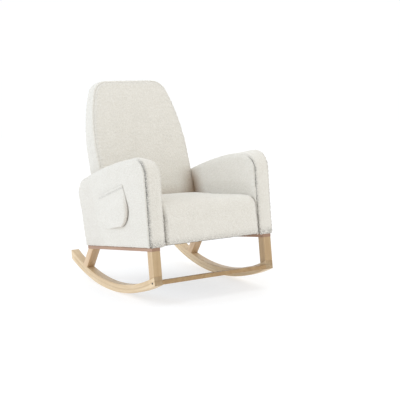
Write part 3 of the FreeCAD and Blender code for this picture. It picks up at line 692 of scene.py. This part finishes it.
def side_paths(outline):
    """The pocket's rear and front edges, each from a top corner to a bottom corner."""
    ring = np.roll(outline, -outline[:, 1].argmax(), axis=0)
    # the top edge is the longest straight run beside the highest corner
    ahead = np.linalg.norm(ring[1] - ring[0])
    behind = np.linalg.norm(ring[-1] - ring[0])
    if ahead > behind:
        ring = np.concatenate([ring[:1], ring[1:][::-1]])
    # ring runs from the front top corner down the front edge, and back up to the rear top corner
    runs = np.linalg.norm(np.diff(ring, axis=0), axis=1)
    # the bottom edge is the longest straight run that lies low
    low = ring[:, 1] < ring[:, 1].min() + 0.02
    flat = max(range(1, len(ring) - 1), key=lambda k: runs[k] * (low[k] and low[k + 1]))
    front = ring[: flat + 1]
    rear = ring[flat + 1:][::-1]
    return rear, front


def spaced(path, count):
    run = np.concatenate([[0], np.cumsum(np.linalg.norm(np.diff(path, axis=0), axis=1))])
    want = np.linspace(0, run[-1], count)
    return np.stack([np.interp(want, run, path[:, k]) for k in range(2)], 1)


def make_pocket(arm):
    """A patch of the same boucle, sewn on at its sides and bottom, full and standing off low at the front."""
    low, high = level_box("arm_pocket")
    rear, front = side_paths(polygon_of(level_points("arm_pocket")[:, 1:]))
    rear = spaced(rear, POCKET_ROWS)
    front = spaced(front, POCKET_ROWS)
    tree = BVHTree.FromObject(arm, bpy.context.evaluated_depsgraph_get())
    spots = []
    hem = []
    wall = []
    edge = []
    for row in range(POCKET_ROWS):
        v = row / (POCKET_ROWS - 1)
        for column in range(POCKET_COLUMNS):
            u = column / (POCKET_COLUMNS - 1)
            y, z = rear[row] * (1 - u) + front[row] * u
            start = Vector(to_row((low[0] - 0.1, y, z)))
            hit = tree.ray_cast(start, Vector((1, 0, 0)))[0]
            ground = hit.x if hit else high[0]
            full = float(ramp(u, 0, 0.80) * ramp(1 - u, 0, 0.06) * ramp(v, 0.02, 0.50) * ramp(1 - v, 0, 0.07))
            gape = math.sin(math.pi * u) * (1 - float(ramp(v, 0, 0.22)))
            stand = 0.0026 + (high[0] - low[0] - 0.001) * full + 0.0018 * gape
            spots.append((ground - stand, y, z))
            # wall marks the pocket's standing-off front edge, which gets painted shade through the deep
            # attribute and a dark seam line
            wall.append(float(ramp(u, 0.93, 1.0) * ramp(v, 0.22, 0.55)))
            edge.append(max((u - 1) * np.linalg.norm(front[row] - rear[row]), -POCKET_WALL) + 0.001)
            hem.append(v * (rear[0][1] - rear[-1][1]) - POCKET_HEM)
    faces = []
    for row in range(POCKET_ROWS - 1):
        for column in range(POCKET_COLUMNS - 1):
            a = row * POCKET_COLUMNS + column
            faces.append((a, a + 1, a + POCKET_COLUMNS + 1, a + POCKET_COLUMNS))
    piece = mesh_piece("pocket", spots, faces)
    store(piece, "seam", edge)
    store(piece, "seam_held", 0.85 * np.sqrt(wall))
    store(piece, "seam_along", np.array(spots)[:, 1])
    mark(piece, 0.35 * (np.abs(hem) < 0.004), 0.30 * np.array(wall))
    thick = piece.modifiers.new("Thickness", "SOLIDIFY")
    thick.thickness = POCKET_THICKNESS
    thick.offset = 0
    settle(piece)
    divide(piece)
    roughen(piece, POCKET_PILE_HEIGHT, 4)
    finish_soft(piece, "root")
    points = to_level(points_of(piece))
    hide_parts("arm_pocket")
    return piece


# ---------------------------------------------------------------- setting

def make_camera():
    data = bpy.data.cameras.new("camera")
    data.lens = 85.84
    data.sensor_width = 36
    camera = bpy.data.objects.new("camera", data)
    camera.location = (-2.6066, -4.1724, 1.1641)
    camera.rotation_euler = (math.radians(81.494), 0, math.radians(-34))
    bpy.context.scene.collection.objects.link(camera)
    bpy.context.scene.camera = camera


def area_light(name, place, target, size, power, colour):
    data = bpy.data.lights.new(name, "AREA")
    data.shape = "RECTANGLE"
    data.size, data.size_y = size
    data.energy = power
    data.color = colour
    light = bpy.data.objects.new(name, data)
    light.location = place
    light.rotation_euler = (Vector(target) - Vector(place)).to_track_quat("-Z", "Y").to_euler()
    bpy.context.scene.collection.objects.link(light)


def make_studio():
    """A plain floor that gives off light of its own, so that shadows on it stay pale, and soft lights."""
    floor = mesh_piece("floor", [(-9, -9, 0), (9, -9, 0), (9, 9, 0), (-9, 9, 0)], [(0, 1, 2, 3)])
    m = Nodes("floor_white")
    grain = m.noise(m.place(), 30.0, detail=2.0)
    m.put(m.shader.inputs["Base Color"], m.mix(grain, (0.35, 0.35, 0.35, 1), (0.37, 0.37, 0.37, 1)))
    m.put(m.shader.inputs["Emission Color"], (0.99, 0.995, 1.0, 1))
    m.put(m.shader.inputs["Emission Strength"], 0.66)
    m.put(m.shader.inputs["Roughness"], 0.7)
    m.put(m.shader.inputs["Specular IOR Level"], 0.2)
    floor.data.materials.append(m.material)
    world = bpy.data.worlds.new("studio")
    world.use_nodes = True
    world.node_tree.nodes["Background"].inputs["Color"].default_value = (0.985, 0.995, 1.0, 1)
    world.node_tree.nodes["Background"].inputs["Strength"].default_value = 1.02
    bpy.context.scene.world = world
    area_light("key", (-3.6, 0.9, 2.4), (0, 0, 0.5), (1.3, 1.3), 38, (0.60, 0.76, 1.0))
    area_light("top", (0.3, -0.8, 4.0), (0, 0, 0.4), (2.5, 2.5), 12, (1.0, 1.0, 1.0))
    area_light("side", (2.6, -2.6, 1.9), (0.3, -0.2, 0.6), (1.2, 1.2), 7, (1.0, 1.0, 1.0))
    bpy.context.scene.view_settings.view_transform = "Standard"


# ---------------------------------------------------------------- the whole chair

REAR_LEG_RAKE = math.radians(41)
RUNNER_HALF = 0.021  # half of a runner's thickness


def arc_centre():
    """The axis that the runners' arcs turn round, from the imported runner: (y, z, middle radius)."""
    points = level_points("left_runner")
    low, high = level_box("left_runner")
    inner = points[np.abs(points[:, 0] - (low[0] + high[0]) / 2) < 0.024]
    below = inner[inner[:, 2] < high[2]]
    rows = []
    for k in np.linspace(low[1] + 0.02, high[1] - 0.02, 40):
        near = below[np.abs(below[:, 1] - k) < 0.025]
        if len(near):
            rows.append(near[near[:, 2].argmin()][1:])
    rows = np.array(rows)
    fit = np.linalg.lstsq(np.c_[2 * rows, np.ones(len(rows))], (rows**2).sum(1), rcond=None)[0]
    radius = math.sqrt(fit[2] + fit[0] ** 2 + fit[1] ** 2)
    centre = to_row((0.0, fit[0], fit[1]))
    return centre[1], centre[2], radius - RUNNER_HALF


def dress_frame():
    """A procedural material on every CAD node that stays."""
    pale = srgb(204, 177, 139)
    deep = srgb(180, 147, 106)
    arc = arc_centre()
    slots = {
        "runner_wood": wood_material("runner_wood_grain", srgb(225, 203, 169), srgb(206, 178, 138), 0, arc),
        "leg_wood": wood_material("leg_wood_grain", pale, deep, LEAN + math.radians(90)),
        "rail_wood": wood_material("rail_wood_grain", srgb(178, 142, 118), srgb(154, 116, 92), LEAN),
        "dowel_wood": wood_material("dowel_wood_grain", pale, deep, LEAN),
        "frame_timber": wood_material("frame_timber_grain", srgb(214, 178, 128), srgb(176, 134, 88), LEAN),
        "hardboard": board_material(),
        "boucle": boucle_material(),
        "foam": foam_material(),
        "felt": cloth_material("felt_grey", srgb(150, 150, 150), srgb(112, 112, 114), 0.0021, 0.95),
        "webbing": cloth_material("webbing_black", srgb(46, 46, 50), srgb(24, 24, 26), 0.0024, 0.8),
        "lining": cloth_material("lining_black", srgb(38, 38, 40), srgb(20, 20, 22), 0.0016, 0.9),
        "spring_steel": metal_material("spring_steel_dull", srgb(134, 132, 130), 0.38),
        "zinc_steel": metal_material("zinc_steel_dull", srgb(120, 116, 110), 0.34),
    }
    raked_way = LEAN + math.radians(90) - REAR_LEG_RAKE
    raked = wood_material("rear_leg_grain", srgb(214, 185, 150), srgb(190, 156, 118), raked_way)
    across = wood_material("crossbar_grain", srgb(184, 153, 110), srgb(158, 122, 80), 0)
    for name, node in NODES.items():
        for k, old in enumerate(node.data.materials):
            node.material_slots[k].link = "OBJECT"
            node.material_slots[k].material = slots[old.name]
        if name.endswith("rear_leg"):
            node.material_slots[0].material = raked
        if name == "front_crossbar":
            node.material_slots[0].material = across
    return slots["boucle"]


def main():
    boucle = dress_frame()
    left, right = make_arms()
    seat = make_seat()
    back = make_back()
    # painted shade in the low corners between the arms, the back and the seat
    paint_corner_shade((left, right), seat, back)
    soft = [left, right, seat, back, make_pocket(right)]
    for piece in soft:
        piece.data.materials.clear()
        piece.data.materials.append(boucle)
    make_camera()
    make_studio()


main()
